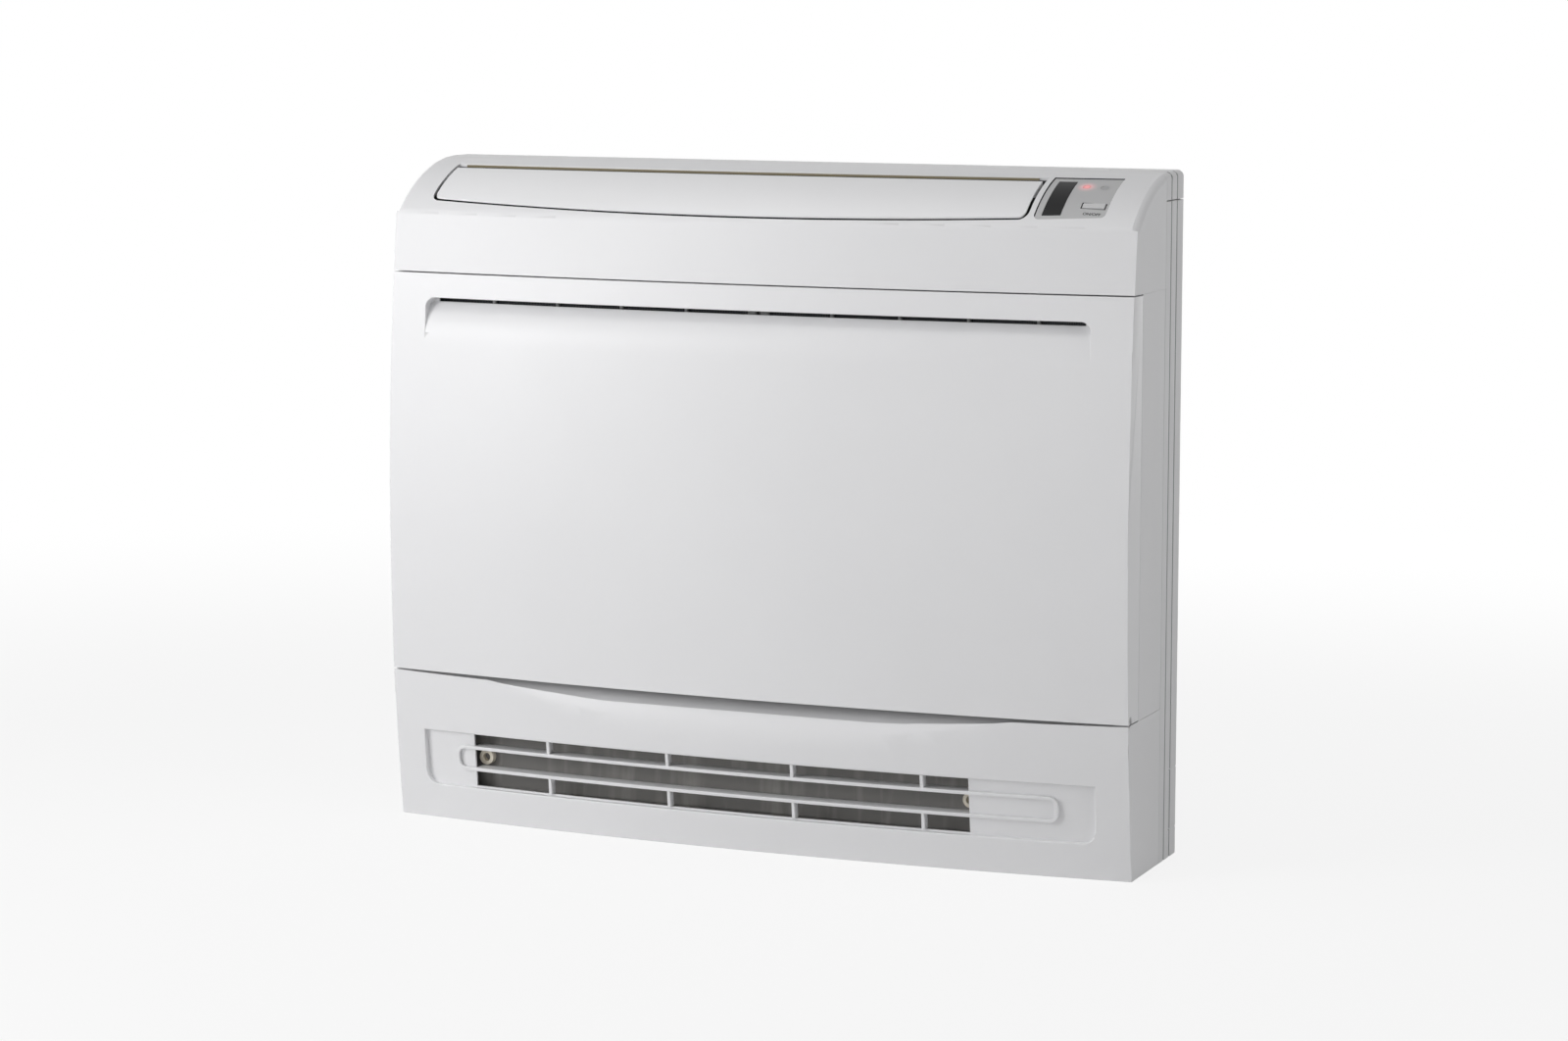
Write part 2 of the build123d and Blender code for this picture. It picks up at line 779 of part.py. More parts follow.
# Ribbed rear frame: right, left and top pieces behind the casing
frame_front = rear_seam + rear_gap
rear_split = overall_height - rear_split_drop
frame_shell = shell & block(-far, far, frame_front, far, 0, far)
groove_floor = envelope(groove_depth, -overrun, casing_back + overrun)
for number in range(1, groove_count + 1):
    groove_back = frame_front + number * groove_pitch
    groove_slab = block(-far, far, groove_back - groove_width, groove_back, -far, far)
    frame_shell -= groove_slab - groove_floor
tongue_foot = base_wall + seam
tongue_inner = envelope(wall + tongue_wall, -overrun, casing_back + overrun)
tongue_root = inner & block(-far, far, frame_front, frame_front + tongue_depth, tongue_foot, far)
tongue_tip = envelope(wall + seat, -overrun) & block(-far, far, rear_seam - tongue_depth, frame_front, tongue_foot, far)
frame_shell += tongue_root - tongue_inner
frame_shell += tongue_tip - tongue_inner
right_rear_frame = frame_shell & block(0, far, -far, far, 0, rear_split - rear_gap / 2)
knockout = block(half_width - knockout_depth, far, casing_back - knockout_width, far, knockout_low, knockout_high)
knockout -= block(
    0,
    far,
    casing_back - knockout_width + knockout_line,
    far,
    knockout_low + knockout_line,
    knockout_high - knockout_line,
)
right_rear_frame -= knockout
write(right_rear_frame, "right_rear_frame")
write(mirror(right_rear_frame, Plane.YZ), "left_rear_frame")
write(frame_shell & block(-far, far, -far, far, rear_split + rear_gap / 2, far), "top_rear_frame")

# Rear chassis pan, narrower than the casing, with its fixing holes
chassis_half = half_width - chassis_inset
chassis_top = overall_height - chassis_drop
flange_front = casing_back - chassis_wall
chassis = block(-chassis_half, chassis_half, flange_front, back_y, 0, chassis_top)
chassis -= block(
    -chassis_half + chassis_wall,
    chassis_half - chassis_wall,
    -far,
    back_y - chassis_wall,
    base_wall,
    chassis_top - chassis_wall,
)
lining = envelope(wall + seat)
flange_half = chassis_half - flange_lap
chassis_flange = lining & block(-far, far, flange_front, casing_back, 0, far)
chassis += chassis_flange - block(-flange_half, flange_half, -far, far, base_wall, chassis_top - flange_lap)
for hole_x in (-half_width + fixing_margin_x, half_width - fixing_margin_x):
    for hole_z in (fixing_foot, overall_height - fixing_drop):
        hole = Plane(origin=(hole_x, back_y, hole_z), z_dir=(0, 1, 0))
        chassis -= hole * Cylinder(fixing_radius, 4 * chassis_wall)
write(chassis, "rear_chassis")

# Base pan between the sides
write(lining & block(-far, far, -far, flange_front, 0, base_wall), "base_pan")

# Inner frame behind the panel, carrying filters, coil and electrical box
coil_left = half_width - coil_left_margin
coil_right = half_width - coil_right_margin
coil_foot = panel_foot + coil_rise
coil_top = panel_top - coil_drop
ear_radius = hinge_pin_radius + hinge_ear_wall
inner_frame = block(-side_inner, side_inner, inner_front, inner_back, side_foot, duct_foot)
inner_frame -= block(-coil_left, coil_right, -far, far, coil_foot, coil_top)
bracket_gap = block(ear_inner - seam, far, -far, far, 0, hinge_z + ear_radius + seam)
inner_frame -= bracket_gap
inner_frame -= mirror(bracket_gap, Plane.YZ)
write(inner_frame, "inner_frame")

# Filters: two moulded frames with ribs, and their mesh
filter_foot = panel_foot + filter_rise
filter_tall = panel_top - filter_drop - filter_foot
filter_width = half_width - filter_margin - filter_split / 2
filter_centre = (filter_width + filter_split) / 2
pitch_across = (filter_width - filter_border) / (filter_ribs_across + 1)
pitch_up = (filter_tall - filter_border) / (filter_ribs_up + 1)
filter_face = Rectangle(filter_width, filter_tall)
for column in range(filter_ribs_across + 1):
    for row in range(filter_ribs_up + 1):
        cell_x = (column - filter_ribs_across / 2) * pitch_across
        cell_z = (row - filter_ribs_up / 2) * pitch_up
        cell_wide = pitch_across - filter_rib
        cell_tall = pitch_up - filter_rib
        if column in (0, filter_ribs_across):
            cell_wide -= (filter_border - filter_rib) / 2
            cell_x -= math.copysign((filter_border - filter_rib) / 4, cell_x)
        if row in (0, filter_ribs_up):
            cell_tall -= (filter_border - filter_rib) / 2
            cell_z -= math.copysign((filter_border - filter_rib) / 4, cell_z)
        filter_face -= Pos(cell_x, cell_z) * Rectangle(cell_wide, cell_tall)
for side, centre in (("right", filter_centre), ("left", -filter_centre)):
    place = Plane(
        origin=(centre, inner_front - mesh_wall, filter_foot + filter_tall / 2),
        x_dir=(1, 0, 0),
        z_dir=(0, -1, 0),
    )
    write(place * extrude(filter_face, filter_depth - mesh_wall), side + "_filter_frame")
    write(place * extrude(Rectangle(filter_width, filter_tall), -mesh_wall), side + "_filter_mesh")

# Coil with end plates, standing in its drain pan
coil_back = inner_back + coil_depth
coil_place = (inner_back, coil_back, coil_foot, coil_top)
write(block(-coil_left + coil_plate, coil_right - coil_plate, *coil_place), "coil_fins")
left_plate = block(-coil_left, -coil_left + coil_plate, *coil_place)
right_plate = block(coil_right - coil_plate, coil_right, *coil_place)
write(Compound([left_plate, right_plate]), "coil_end_plates")
pan_left = coil_left + pan_margin
pan_right = coil_right + pan_margin
pan_back = coil_back + pan_margin
drain_pan = block(-pan_left, pan_right, inner_back, pan_back, coil_foot - pan_drop, coil_foot + pan_lip)
drain_pan -= block(-pan_left + pan_wall, pan_right - pan_wall, -far, pan_back - pan_wall, coil_foot, far)
write(drain_pan, "drain_pan")

# Electrical box beside the coil
box_left = coil_right + box_gap
box_right = half_width - box_margin
write(block(box_left, box_right, inner_back, inner_back + box_depth, coil_foot, coil_top), "electrical_box")

# Hinge brackets: round ear on an arm from the side of the base
arm_back = panel_back + seam + hinge_arm_setback
bracket = on_hinge(ear_radius, ear_inner, ear_outer)
bracket += block(ear_inner, ear_outer, hinge_y, arm_back, hinge_z - ear_radius, hinge_z + ear_radius)
foot_arm = block(
    ear_inner, side_inner, arm_back - hinge_arm_depth, arm_back, side_foot - hinge_arm_drop, hinge_z + ear_radius
)
foot_arm -= block(ear_outer, far, -far, panel_back + seam, side_foot, far)
bracket += foot_arm
bracket -= on_hinge(hinge_pin_radius + hinge_clearance, -far, far)
write(Compound([bracket, mirror(bracket, Plane.YZ)]), "panel_hinge_brackets")
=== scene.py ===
# %% [markdown]
# # A floor console air conditioner
# The solids of the part are already in place: this lesson dresses them. It gives every piece its finish, models
# most of the mouldings again with soft edges, adds the small things that solids leave out, and sets up camera
# and light.

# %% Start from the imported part
import json
import math

import bmesh
import bpy
from mathutils import Matrix, Vector
from mathutils.bvhtree import BVHTree

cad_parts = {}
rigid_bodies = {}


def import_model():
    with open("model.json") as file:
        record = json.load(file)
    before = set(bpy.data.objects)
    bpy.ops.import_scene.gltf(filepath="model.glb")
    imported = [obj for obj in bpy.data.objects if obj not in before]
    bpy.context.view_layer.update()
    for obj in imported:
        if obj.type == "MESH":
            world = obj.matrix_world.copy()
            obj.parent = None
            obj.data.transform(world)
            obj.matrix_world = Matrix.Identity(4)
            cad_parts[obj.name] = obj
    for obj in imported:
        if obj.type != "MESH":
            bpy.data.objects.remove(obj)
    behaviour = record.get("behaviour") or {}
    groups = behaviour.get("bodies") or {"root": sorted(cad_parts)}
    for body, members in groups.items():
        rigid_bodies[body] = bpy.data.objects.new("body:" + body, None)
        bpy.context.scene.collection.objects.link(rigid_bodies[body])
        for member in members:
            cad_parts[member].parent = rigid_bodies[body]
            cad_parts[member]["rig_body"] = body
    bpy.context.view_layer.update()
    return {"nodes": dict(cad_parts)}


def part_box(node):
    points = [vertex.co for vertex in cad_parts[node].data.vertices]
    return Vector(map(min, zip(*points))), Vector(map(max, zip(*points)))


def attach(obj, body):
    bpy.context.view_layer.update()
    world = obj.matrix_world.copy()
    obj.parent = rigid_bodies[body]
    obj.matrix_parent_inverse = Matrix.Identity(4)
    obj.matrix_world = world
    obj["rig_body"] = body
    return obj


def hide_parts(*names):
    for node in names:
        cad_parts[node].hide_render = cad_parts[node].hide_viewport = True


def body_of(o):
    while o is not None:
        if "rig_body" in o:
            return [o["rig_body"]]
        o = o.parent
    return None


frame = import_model()
scene = bpy.context.scene
scene.view_settings.view_transform = "Standard"
MM = 0.001
print("part loaded:", len(frame["nodes"]), "pieces")

# %% [markdown]
# ## Camera
# The camera stands a little above the cabinet and to the right of it, three and a half metres away, as a
# product photographer does to keep uprights nearly parallel. It looks down by a few degrees only, because more
# would make the sides lean, and a small vertical shift does the rest of the framing.

# %% Place the camera
CAMERA_PLACE = Vector((1.313889, -3.126293, 0.749323))
CAMERA_YAW = 0.39744
CAMERA_PITCH = 0.096
CAMERA_ROLL = 0.00354
CAMERA_SENSOR = 36
CAMERA_LENS = 88
CAMERA_SHIFT = -0.1
ahead = Vector((
    -math.sin(CAMERA_YAW) * math.cos(CAMERA_PITCH),
    math.cos(CAMERA_YAW) * math.cos(CAMERA_PITCH),
    -math.sin(CAMERA_PITCH),
))
level = Vector((math.cos(CAMERA_YAW), math.sin(CAMERA_YAW), 0))
above = level.cross(ahead)
across = level * math.cos(CAMERA_ROLL) + above * math.sin(CAMERA_ROLL)
upward = above * math.cos(CAMERA_ROLL) - level * math.sin(CAMERA_ROLL)
camera_data = bpy.data.cameras.new("camera")
camera_data.sensor_width = CAMERA_SENSOR
camera_data.lens = CAMERA_LENS
camera_data.shift_y = CAMERA_SHIFT
camera_data.clip_end = 50
camera = bpy.data.objects.new("camera", camera_data)
camera_turn = Matrix((across, upward, -ahead)).transposed().to_4x4()
camera.matrix_world = Matrix.Translation(CAMERA_PLACE) @ camera_turn
scene.collection.objects.link(camera)
scene.camera = camera
print("camera looks along", tuple(round(v, 3) for v in ahead))

# %% [markdown]
# ## Finishes
# Almost everything here is moulded plastic. A moulding is never one flat colour: the resin varies a little over
# a hand's width and the polished steel mould leaves a very fine grain. Both come from noise read on Object
# coordinates, so that they stay on the piece when it moves. The grain goes through a Bump node and the tone
# through a colour ramp.


# %% Moulded plastic
TONE_WAVES = 5
GRAIN_HEIGHT = 0.05 * MM


def new_finish(name):
    """Empty material with its shader and a coordinate to hang patterns on."""
    material = bpy.data.materials.new(name + "_finish")
    material.use_nodes = True
    nodes = material.node_tree.nodes
    place = nodes.new("ShaderNodeTexCoord")
    return material, nodes, material.node_tree.links, nodes["Principled BSDF"], place.outputs["Object"]


def noise(nodes, links, place, scale, detail):
    """Noise pattern with so many waves to the metre."""
    pattern = nodes.new("ShaderNodeTexNoise")
    pattern.inputs["Scale"].default_value = scale
    pattern.inputs["Detail"].default_value = detail
    links.new(place, pattern.inputs["Vector"])
    return pattern.outputs["Fac"]


def two_tones(nodes, links, factor, first, second, start=0.35, end=0.65):
    """Colour ramp between two tones."""
    ramp = nodes.new("ShaderNodeValToRGB")
    ramp.color_ramp.elements[0].position = start
    ramp.color_ramp.elements[0].color = (*first, 1)
    ramp.color_ramp.elements[1].position = end
    ramp.color_ramp.elements[1].color = (*second, 1)
    links.new(factor, ramp.inputs["Fac"])
    return ramp.outputs["Color"]


def roughen(nodes, links, shader, height, strength, distance):
    """Turn a pattern into fine relief."""
    bump = nodes.new("ShaderNodeBump")
    bump.inputs["Strength"].default_value = strength
    bump.inputs["Distance"].default_value = distance
    links.new(height, bump.inputs["Height"])
    links.new(bump.outputs["Normal"], shader.inputs["Normal"])


def moulded_plastic(name, tone, roughness, variation=0.02, grain=1400, relief=0.08):
    """Satin plastic: one tone that drifts slightly, with the grain of its mould."""
    material, nodes, links, shader, place = new_finish(name)
    darker = [value * (1 - variation) for value in tone]
    drift = noise(nodes, links, place, TONE_WAVES, 2)
    links.new(two_tones(nodes, links, drift, tone, darker), shader.inputs["Base Color"])
    roughen(nodes, links, shader, noise(nodes, links, place, grain, 2), relief, GRAIN_HEIGHT)
    shader.inputs["Roughness"].default_value = roughness
    return material


finishes = {
    "casing_white": moulded_plastic("casing_white", (0.80, 0.80, 0.812), 0.42),
    "frame_white": moulded_plastic("frame_white", (0.79, 0.79, 0.80), 0.45),
    "panel_white": moulded_plastic("panel_white", (0.81, 0.81, 0.822), 0.36),
    "vane_white": moulded_plastic("vane_white", (0.865, 0.865, 0.875), 0.40),
    "filter_white": moulded_plastic("filter_white", (0.72, 0.73, 0.73), 0.5),
    "pan_white": moulded_plastic("pan_white", (0.66, 0.66, 0.66), 0.6),
    "hinge_grey": moulded_plastic("hinge_grey", (0.42, 0.42, 0.42), 0.45),
    "duct_grey": moulded_plastic("duct_grey", (0.035, 0.035, 0.036), 0.55, variation=0.2),
    "blade_grey": moulded_plastic("blade_grey", (0.16, 0.16, 0.16), 0.5, variation=0.1),
    "boss_ivory": moulded_plastic("boss_ivory", (0.93, 0.86, 0.72), 0.4, variation=0.06),
    "control_grey": moulded_plastic("control_grey", (0.50, 0.50, 0.505), 0.45, variation=0.04),
    "button_white": moulded_plastic("button_white", (0.60, 0.60, 0.605), 0.35),
    "sensor_smoke": moulded_plastic("sensor_smoke", (0.36, 0.36, 0.37), 0.3),
    "display_black": moulded_plastic("display_black", (0.008, 0.008, 0.009), 0.3, variation=0.4, relief=0.02),
}
DISPLAY_SHEEN = 0.12
display_shader = finishes["display_black"].node_tree.nodes["Principled BSDF"]
display_shader.inputs["Specular IOR Level"].default_value = DISPLAY_SHEEN
print("finishes:", ", ".join(finishes))

# %% [markdown]
# ## Sheet metal, fins and mesh
# The chassis behind is galvanised steel, which shows its zinc crystals as patches: a Voronoi pattern gives
# them. The coil is a pack of thin aluminium fins and the filter a cloth of fine threads. Both are far too fine
# to model, so a wave pattern at their real pitch draws them, once along the width and for the cloth also along
# the height, with painted shade in the gaps between the fins. The dark plastic in the lower outlet carries
# upright streaks of dust, and the seal behind the vane is felt with painted shade along its foot.


# %% Metal, threads and felt
CRYSTALS_PER_METRE = 150
CRYSTAL_SHADE = 0.9
WAVE_RADIANS = 20
FIN_GAP_SHADE = 0.12
STREAK_WAVES = (70, 20, 9)


def galvanised_sheet(name, tone):
    """Zinc on steel: crystal patches, half metallic."""
    material, nodes, links, shader, place = new_finish(name)
    crystals = nodes.new("ShaderNodeTexVoronoi")
    crystals.inputs["Scale"].default_value = CRYSTALS_PER_METRE
    links.new(place, crystals.inputs["Vector"])
    darker = [value * CRYSTAL_SHADE for value in tone]
    patches = two_tones(nodes, links, crystals.outputs["Color"], darker, tone, 0.2, 0.8)
    links.new(patches, shader.inputs["Base Color"])
    roughen(nodes, links, shader, noise(nodes, links, place, 260, 2), 0.1, 0.1 * MM)
    shader.inputs["Metallic"].default_value = 0.65
    shader.inputs["Roughness"].default_value = 0.42
    return material


def stripes(nodes, links, place, direction, pitch):
    """Bands across one axis, a pitch apart."""
    wave = nodes.new("ShaderNodeTexWave")
    wave.bands_direction = direction
    wave.inputs["Scale"].default_value = 2 * math.pi / (WAVE_RADIANS * pitch)
    links.new(place, wave.inputs["Vector"])
    return wave.outputs["Fac"]


def fin_pack(name, tone, pitch):
    """Aluminium fins on edge, with painted shade in the gaps between them."""
    material, nodes, links, shader, place = new_finish(name)
    rows = stripes(nodes, links, place, "X", pitch)
    # Painted shade in the gaps between the fins.
    gap = [value * FIN_GAP_SHADE for value in tone]
    links.new(two_tones(nodes, links, rows, gap, tone, 0.3, 0.7), shader.inputs["Base Color"])
    roughen(nodes, links, shader, rows, 0.6, 0.3 * MM)
    shader.inputs["Metallic"].default_value = 0.8
    shader.inputs["Roughness"].default_value = 0.35
    return material


def filter_cloth(name, thread, hole, pitch):
    """Woven threads both ways over dark holes."""
    material, nodes, links, shader, place = new_finish(name)
    weave = nodes.new("ShaderNodeMath")
    weave.operation = "MAXIMUM"
    links.new(stripes(nodes, links, place, "X", pitch), weave.inputs[0])
    links.new(stripes(nodes, links, place, "Z", pitch), weave.inputs[1])
    links.new(two_tones(nodes, links, weave.outputs[0], hole, thread, 0.7, 0.9), shader.inputs["Base Color"])
    roughen(nodes, links, shader, weave.outputs[0], 0.5, 0.2 * MM)
    shader.inputs["Roughness"].default_value = 0.7
    return material


def streaked_plastic(name, tone, streak, roughness):
    """Dull plastic in the air stream, with upright streaks of dust."""
    material, nodes, links, shader, place = new_finish(name)
    stretch = nodes.new("ShaderNodeMapping")
    stretch.inputs["Scale"].default_value = STREAK_WAVES
    links.new(place, stretch.inputs["Vector"])
    dust = noise(nodes, links, stretch.outputs["Vector"], 1, 3)
    links.new(two_tones(nodes, links, dust, tone, streak, 0.52, 0.8), shader.inputs["Base Color"])
    roughen(nodes, links, shader, noise(nodes, links, place, 900, 2), 0.1, 0.05 * MM)
    shader.inputs["Roughness"].default_value = roughness
    return material


def felt_strip(name, nap, shadow, top, depth):
    """Felt on a strip: fibres on the open edge, painted shade below it."""
    material, nodes, links, shader, place = new_finish(name)
    height = nodes.new("ShaderNodeSeparateXYZ")
    links.new(place, height.inputs["Vector"])
    low_to_high = nodes.new("ShaderNodeMapRange")
    low_to_high.inputs["From Min"].default_value = top - depth
    low_to_high.inputs["From Max"].default_value = top
    links.new(height.outputs["Z"], low_to_high.inputs["Value"])
    fibres = noise(nodes, links, place, 900, 4)
    nap_and_painted_shade = two_tones(nodes, links, low_to_high.outputs["Result"], shadow, nap, 0.25, 0.45)
    links.new(nap_and_painted_shade, shader.inputs["Base Color"])
    roughen(nodes, links, shader, fibres, 0.6, 0.2 * MM)
    shader.inputs["Roughness"].default_value = 0.9
    return material


SEAL_SHOWN = 2.9 * MM
SEAL_NAP = (0.27, 0.235, 0.15)
SEAL_SHADOW = (0.03, 0.028, 0.024)
FIN_PITCH = 1.8 * MM
THREAD_PITCH = 1.5 * MM
seal_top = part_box("outlet_seal_strip")[1].z
# Painted shade on the lower part of the seal, below its felt edge.
finishes["seal_brown"] = felt_strip("seal_brown", SEAL_NAP, SEAL_SHADOW, seal_top, SEAL_SHOWN)
lower_grey = streaked_plastic("lower_grey", (0.20, 0.194, 0.186), (0.34, 0.33, 0.31), 0.6)
finishes["chassis_zinc"] = galvanised_sheet("chassis_zinc", (0.56, 0.57, 0.58))
finishes["fin_aluminium"] = fin_pack("fin_aluminium", (0.62, 0.64, 0.66), FIN_PITCH)
finishes["filter_mesh"] = filter_cloth("filter_mesh", (0.16, 0.17, 0.18), (0.02, 0.02, 0.022), THREAD_PITCH)
print("metal, cloth and felt:", "chassis_zinc, fin_aluminium, filter_mesh, seal_brown, lower_grey")

# %% [markdown]
# ## The lit lamp
# The running lamp is a small lens over a red diode. It is brightest in its middle and fades towards its rim, so
# its emission comes from a round gradient that a Mapping node centres on the lens. The same gradient, wider and
# weaker, paints the lamp's light on the grey panel round it as a soft glow: painted light, emitted by the
# panel's finish.


# %% Lamp glow
def glow_round(nodes, links, place, centre, radius):
    """One at a point, falling to nothing at a radius."""
    shift = nodes.new("ShaderNodeMapping")
    shift.vector_type = "TEXTURE"
    shift.inputs["Location"].default_value = centre
    shift.inputs["Scale"].default_value = (radius, radius, radius)
    links.new(place, shift.inputs["Vector"])
    ball = nodes.new("ShaderNodeTexGradient")
    ball.gradient_type = "QUADRATIC_SPHERE"
    links.new(shift.outputs["Vector"], ball.inputs["Vector"])
    return ball.outputs["Fac"]


def add_glow_or_painted_light(material, centre, radius, colour, strength):
    """Let a finish shine round a point: the lamp's own lens, or painted light on the panel round it."""
    nodes = material.node_tree.nodes
    links = material.node_tree.links
    shader = nodes["Principled BSDF"]
    place = nodes.new("ShaderNodeTexCoord").outputs["Object"]
    level = nodes.new("ShaderNodeMath")
    level.operation = "MULTIPLY"
    level.inputs[1].default_value = strength
    links.new(glow_round(nodes, links, place, centre, radius), level.inputs[0])
    links.new(level.outputs[0], shader.inputs["Emission Strength"])
    shader.inputs["Emission Color"].default_value = (*colour, 1)


def middle_of(node):
    """Middle of a solid's box."""
    low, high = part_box(node)
    return (low + high) / 2


LENS_GLOW = 5 * MM
PANEL_PAINTED_GLOW = 11 * MM
lamp_middle = middle_of("indicator_lamp")
finishes["lamp_red"] = moulded_plastic("lamp_red", (0.72, 0.30, 0.30), 0.3)
add_glow_or_painted_light(finishes["lamp_red"], lamp_middle, LENS_GLOW, (1.0, 0.30, 0.32), 1.0)
# Painted light: the lamp's red glow on the grey panel, emitted by the panel's finish.
add_glow_or_painted_light(finishes["control_grey"], lamp_middle, PANEL_PAINTED_GLOW, (1.0, 0.25, 0.28), 0.8)
print("lamp glows at", tuple(round(value, 4) for value in lamp_middle))

# %% [markdown]
# ## Painted shade in the grooves, and a dark rim round the sensor
# Painted shade darkens the two grooves that run round the rear frame, and the smoked sensor in the control
# panel has a soft dark rim. A Mix node multiplies the finish there: between two depths for a groove, and by the
# same round gradient as the lamp's for the sensor.

# %% Shade
MIX_FACTOR, MIX_FIRST, MIX_SECOND, MIX_RESULT = 0, 6, 7, 2


def shade(material, factor, share):
    """Darken a finish by a share where a pattern is one."""
    nodes = material.node_tree.nodes
    links = material.node_tree.links
    colour = nodes["Principled BSDF"].inputs["Base Color"]
    mix = nodes.new("ShaderNodeMix")
    mix.data_type = "RGBA"
    mix.blend_type = "MULTIPLY"
    mix.inputs[MIX_SECOND].default_value = (share, share, share, 1)
    links.new(factor, mix.inputs[MIX_FACTOR])
    links.new(colour.links[0].from_socket, mix.inputs[MIX_FIRST])
    links.new(mix.outputs[MIX_RESULT], colour)


def in_groove(material, centre, half):
    """One in a groove that runs round a frame at this depth."""
    nodes = material.node_tree.nodes
    links = material.node_tree.links
    depth = nodes.new("ShaderNodeSeparateXYZ")
    links.new(nodes.new("ShaderNodeTexCoord").outputs["Object"], depth.inputs["Vector"])
    inside = nodes.new("ShaderNodeMath")
    inside.operation = "COMPARE"
    inside.inputs[1].default_value = centre
    inside.inputs[2].default_value = half
    links.new(depth.outputs["Y"], inside.inputs[0])
    return inside.outputs[0]


def round_sensor(material):
    """Fading round pattern about the sensor."""
    nodes = material.node_tree.nodes
    place = nodes.new("ShaderNodeTexCoord").outputs["Object"]
    return glow_round(nodes, material.node_tree.links, place, middle_of("signal_sensor"), SENSOR_RIM)


GROOVES = (27.3 * MM, 43.3 * MM)
GROOVE_HALF = 1.52 * MM
GROOVE_SHADE_SHARE = 0.58
SENSOR_RIM = 9 * MM
SENSOR_SHARE = 0.7
# Painted shade in the two grooves of the rear frame.
for groove in GROOVES:
    shade(finishes["frame_white"], in_groove(finishes["frame_white"], groove, GROOVE_HALF), GROOVE_SHADE_SHARE)
shade(finishes["control_grey"], round_sensor(finishes["control_grey"]), SENSOR_SHARE)
print("grooves shaded at", GROOVES)

# %% [markdown]
# ## Finishes on the solids
# Every solid keeps its place and its mesh, and only its material slot is filled. The slot already carries the
# name of the finish, so the names are read from there and not listed again. Only the two pieces in the lower
# air stream take a finish of their own.

# %% Put the finishes on
OWN_FINISH = {"lower_duct": lower_grey, "lower_damper": lower_grey}
slot_of = {}
finish_of = {}
for name, node in frame["nodes"].items():
    slot_of[name] = node.material_slots[0].material.name
    finish_of[name] = OWN_FINISH.get(name, finishes[slot_of[name]])
    node.material_slots[0].material = finish_of[name]
    print(name, "in", slot_of[name])

# %% [markdown]
# ## Soft edges
# A moulding has no knife edges: each corner has a radius of about half a millimetre, and that radius catches
# the light as a fine bright line. A copy of a solid's mesh is merged first, because it comes as loose
# triangles, and its very short edges are dissolved so that a bevel has room. The bevel then takes only convex
# edges that are sharper than a set angle, and leaves out those beside an edge too short for it, where it would
# fold over. Corners that stay are marked sharp, and weighted normals keep the large faces flat.


# %% Copy a solid with soft edges
MERGE = 0.01 * MM
FLAT = math.radians(0.01)
CORNER = math.radians(28)
ROOM_NEEDED = 1.5


def show_as(piece, node):
    """Let a dressed piece stand for a solid: its body and its finish."""
    piece.data.materials.clear()
    piece.data.materials.append(finish_of[node])
    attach(piece, body_of(frame["nodes"][node])[0])
    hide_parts(node)


def has_room(edge, width, rounded):
    """True where the edges that meet this one are longer than the bevel, or are rounded as well."""
    ends = set(edge.verts)
    for face in edge.link_faces:
        for other in face.edges:
            meets = other not in rounded and ends & set(other.verts)
            if meets and other.calc_length() < ROOM_NEEDED * width:
                return False
    return True


def round_edges(form, width, wanted=None, angle=50, segments=2):
    """Round the sharp convex edges whose ends pass a test."""
    sharp = set()
    for edge in form.edges:
        turned = edge.is_manifold and edge.calc_face_angle_signed() > math.radians(angle)
        if turned and (wanted is None or all(map(wanted, edge.verts))):
            sharp.add(edge)
    edges = [edge for edge in form.edges if edge in sharp and has_room(edge, width, sharp)]
    for edge in edges:
        edge.smooth = True
    bmesh.ops.bevel(
        form, geom=edges, offset=width, offset_type="OFFSET", segments=segments, profile=0.5, affect="EDGES",
        clamp_overlap=False, material=-1,
    )
    print(len(sharp) - len(edges), "edges have no room for", round(width / MM, 2), "mm")
    return len(edges)


def copy_of(node, shortest=0.05 * MM):
    """Mesh of a solid with its loose triangles joined into whole faces."""
    form = bmesh.new()
    form.from_mesh(frame["nodes"][node].data)
    bmesh.ops.remove_doubles(form, verts=form.verts, dist=MERGE)
    bmesh.ops.dissolve_limit(
        form, angle_limit=FLAT, verts=form.verts, edges=form.edges, use_dissolve_boundaries=False,
    )
    bmesh.ops.dissolve_degenerate(form, dist=shortest, edges=form.edges)
    for edge in form.edges:
        edge.smooth = edge.is_manifold and edge.calc_face_angle() < CORNER
    return form


def piece_from(form, name):
    """Finished piece from a bmesh."""
    for face in form.faces:
        face.smooth = True
    mesh = bpy.data.meshes.new(name)
    form.to_mesh(mesh)
    form.free()
    piece = bpy.data.objects.new(name, mesh)
    scene.collection.objects.link(piece)
    return piece


def dress(form, node):
    """Finished piece that stands for a solid and keeps inside its box, with its broad faces shaded flat."""
    low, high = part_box(node)
    for vertex in form.verts:
        vertex.co = [min(max(value, least), most) for value, least, most in zip(vertex.co, low, high)]
    piece = piece_from(form, node + "_soft")
    show_as(piece, node)
    normals = piece.modifiers.new("flat faces", "WEIGHTED_NORMAL")
    normals.keep_sharp = True
    normals.weight = 100
    return piece


